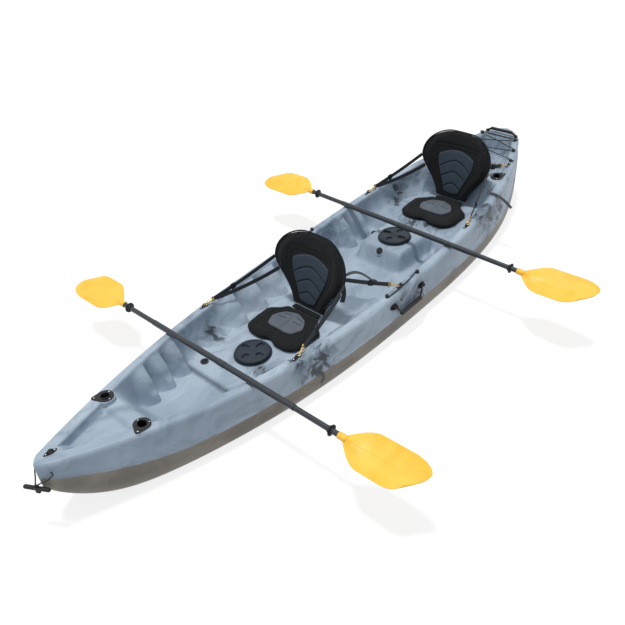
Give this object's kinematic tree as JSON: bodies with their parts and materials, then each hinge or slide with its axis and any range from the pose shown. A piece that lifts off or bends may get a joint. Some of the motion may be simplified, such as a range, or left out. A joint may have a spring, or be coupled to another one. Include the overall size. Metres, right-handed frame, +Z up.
{
  "type": "tandem kayak",
  "caption": "Tandem sit-on-top kayak with folding strapped seats, take-apart paddles, round hatches, rod holders, carry handles and drain plugs.",
  "frame": {"origin": "on the keel, half way along the hull, on the middle plane", "axes": "+X forward to the bow, +Y to port, +Z up"},
  "size_m": [3.7597, 2.372, 0.607],
  "materials": {
    "hull_plastic": "satin",
    "hatch_plastic": "satin",
    "tub_plastic": "satin",
    "seal_rubber": "matte",
    "black_plastic": "satin",
    "stainless_steel": "brushed",
    "black_cord": "woven",
    "plug_rubber": "matte",
    "grey_padding": "woven",
    "slate_padding": "ribbed",
    "black_padding": "matte",
    "webbing": "woven",
    "brass": "polished",
    "shaft_aluminium": "anodised",
    "blade_plastic": "satin"
  },
  "bodies": {
    "hull": {"hull_shell": "hull_plastic", "front_hatch_ring": "hatch_plastic", "front_hatch_tub": "tub_plastic", "rear_hatch_ring": "hatch_plastic", "rear_hatch_tub": "tub_plastic", "front_rod_holders": "black_plastic", "rear_rod_holders": "black_plastic", "deck_screws": "stainless_steel", "strap_eyes": "black_plastic", "cord_buttons": "black_plastic", "stern_bungee": "black_cord", "stern_handle": "black_plastic", "bow_eye": "black_plastic", "port_handle_caps": "black_plastic", "port_keeper": "black_cord", "starboard_handle_caps": "black_plastic", "starboard_keeper": "black_cord", "front_seat": "black_padding", "front_seat_insert": "grey_padding", "front_straps": "webbing", "front_hooks": "brass", "front_buckles": "black_plastic", "rear_seat": "black_padding", "rear_seat_insert": "grey_padding", "rear_straps": "webbing", "rear_hooks": "brass", "rear_buckles": "black_plastic", "rear_strap_tail": "webbing"},
    "front_back": {"front_backrest": "black_padding", "front_back_insert": "slate_padding"},
    "rear_back": {"rear_backrest": "black_padding", "rear_back_insert": "slate_padding"},
    "front_seal": {"front_hatch_seal": "seal_rubber"},
    "front_lid": {"front_hatch_lid": "hatch_plastic"},
    "rear_seal": {"rear_hatch_seal": "seal_rubber"},
    "rear_lid": {"rear_hatch_lid": "hatch_plastic"},
    "front_port_half": {"front_paddle_port": "shaft_aluminium", "front_blade_port": "blade_plastic"},
    "front_starboard_half": {"front_paddle_starboard": "shaft_aluminium", "front_blade_starboard": "blade_plastic"},
    "front_port_drip": {"front_drip_port": "plug_rubber"},
    "front_starboard_drip": {"front_drip_starboard": "plug_rubber"},
    "rear_port_half": {"rear_paddle_port": "shaft_aluminium", "rear_blade_port": "blade_plastic"},
    "rear_starboard_half": {"rear_paddle_starboard": "shaft_aluminium", "rear_blade_starboard": "blade_plastic"},
    "rear_port_drip": {"rear_drip_port": "plug_rubber"},
    "rear_starboard_drip": {"rear_drip_starboard": "plug_rubber"},
    "toggle": {"bow_toggle": "black_plastic", "bow_toggle_cord": "black_cord"},
    "port_grip": {"port_handle": "black_plastic"},
    "starboard_grip": {"starboard_handle": "black_plastic"},
    "front_port_plug": {"front_port_plug": "plug_rubber"},
    "front_starboard_plug": {"front_starboard_plug": "plug_rubber"},
    "rear_port_plug": {"rear_port_plug": "plug_rubber"},
    "rear_starboard_plug": {"rear_starboard_plug": "plug_rubber"},
    "drain_plug": {"drain_plug": "plug_rubber"}
  },
  "joints": [
    {"name": "front_back_fold", "type": "hinge", "parent": "hull", "child": "front_back", "pos_m": [0.26, 0, 0.133], "axis": [0, 1, 0], "range_deg": [0, 90], "deforming": ["front_straps"]},
    {"name": "rear_back_fold", "type": "hinge", "parent": "hull", "child": "rear_back", "pos_m": [-1.135, 0, 0.185], "axis": [0, 1, 0], "range_deg": [0, 90], "deforming": ["rear_straps"]},
    {"name": "front_hatch_lift", "type": "slide", "parent": "hull", "child": "front_seal", "axis": [0, 0, 1], "range_m": [0, 0.05]},
    {"name": "front_hatch_turn", "type": "hinge", "parent": "front_seal", "child": "front_lid", "pos_m": [0.662, 0, 0.1214], "axis": [0, 0, 1], "range_deg": [0, 120]},
    {"name": "rear_hatch_lift", "type": "slide", "parent": "hull", "child": "rear_seal", "axis": [0, 0, 1], "range_m": [0, 0.05]},
    {"name": "rear_hatch_turn", "type": "hinge", "parent": "rear_seal", "child": "rear_lid", "pos_m": [-0.553, 0, 0.2084], "axis": [0, 0, 1], "range_deg": [0, 120]},
    {"name": "front_paddle_lift", "type": "slide", "parent": "hull", "child": "front_port_half", "axis": [0, 0, 1], "range_m": [0, 0.5]},
    {"name": "front_paddle_feather", "type": "hinge", "parent": "front_port_half", "child": "front_starboard_half", "pos_m": [0.935, 0.08, 0.29605], "axis": [0, 1, 0], "range_deg": [-90, 90]},
    {"name": "front_port_drip_slide", "type": "slide", "parent": "front_port_half", "child": "front_port_drip", "axis": [0, 1, 0], "range_m": [-0.15, 0.03]},
    {"name": "front_starboard_drip_slide", "type": "slide", "parent": "front_starboard_half", "child": "front_starboard_drip", "axis": [0, -1, 0], "range_m": [-0.15, 0.03]},
    {"name": "rear_paddle_lift", "type": "slide", "parent": "hull", "child": "rear_port_half", "axis": [0, 0, 1], "range_m": [0, 0.5]},
    {"name": "rear_paddle_feather", "type": "hinge", "parent": "rear_port_half", "child": "rear_starboard_half", "pos_m": [-0.54663, 0.07996, 0.30099], "axis": [0.0297, 0.9996, -0.0017], "range_deg": [-90, 90]},
    {"name": "rear_port_drip_slide", "type": "slide", "parent": "rear_port_half", "child": "rear_port_drip", "axis": [0.0297, 0.9996, -0.0017], "range_m": [-0.15, 0.03]},
    {"name": "rear_starboard_drip_slide", "type": "slide", "parent": "rear_starboard_half", "child": "rear_starboard_drip", "axis": [-0.0297, -0.9996, 0.0017], "range_m": [-0.15, 0.03]},
    {"name": "bow_toggle_swing", "type": "hinge", "parent": "hull", "child": "toggle", "pos_m": [1.812, 0, 0.306], "axis": [0, -1, 0], "range_deg": [0, 110]},
    {"name": "port_handle_swing", "type": "hinge", "parent": "hull", "child": "port_grip", "pos_m": [-0.106, 0.43137, 0.21057], "axis": [1, 0, 0], "range_deg": [0, 150]},
    {"name": "starboard_handle_swing", "type": "hinge", "parent": "hull", "child": "starboard_grip", "pos_m": [-0.106, -0.43137, 0.21057], "axis": [-1, 0, 0], "range_deg": [0, 150]},
    {"name": "front_port_plug_pull", "type": "slide", "parent": "hull", "child": "front_port_plug", "axis": [0, 0, 1], "range_m": [0, 0.06]},
    {"name": "front_starboard_plug_pull", "type": "slide", "parent": "hull", "child": "front_starboard_plug", "axis": [0, 0, 1], "range_m": [0, 0.06]},
    {"name": "rear_port_plug_pull", "type": "slide", "parent": "hull", "child": "rear_port_plug", "axis": [0, 0, 1], "range_m": [0, 0.06]},
    {"name": "rear_starboard_plug_pull", "type": "slide", "parent": "hull", "child": "rear_starboard_plug", "axis": [0, 0, 1], "range_m": [0, 0.06]},
    {"name": "drain_plug_turn", "type": "hinge", "parent": "hull", "child": "drain_plug", "pos_m": [-0.405, 0, 0.181], "axis": [0.7071, 0, 0.7071], "range_deg": [0, 180]}
  ]
}
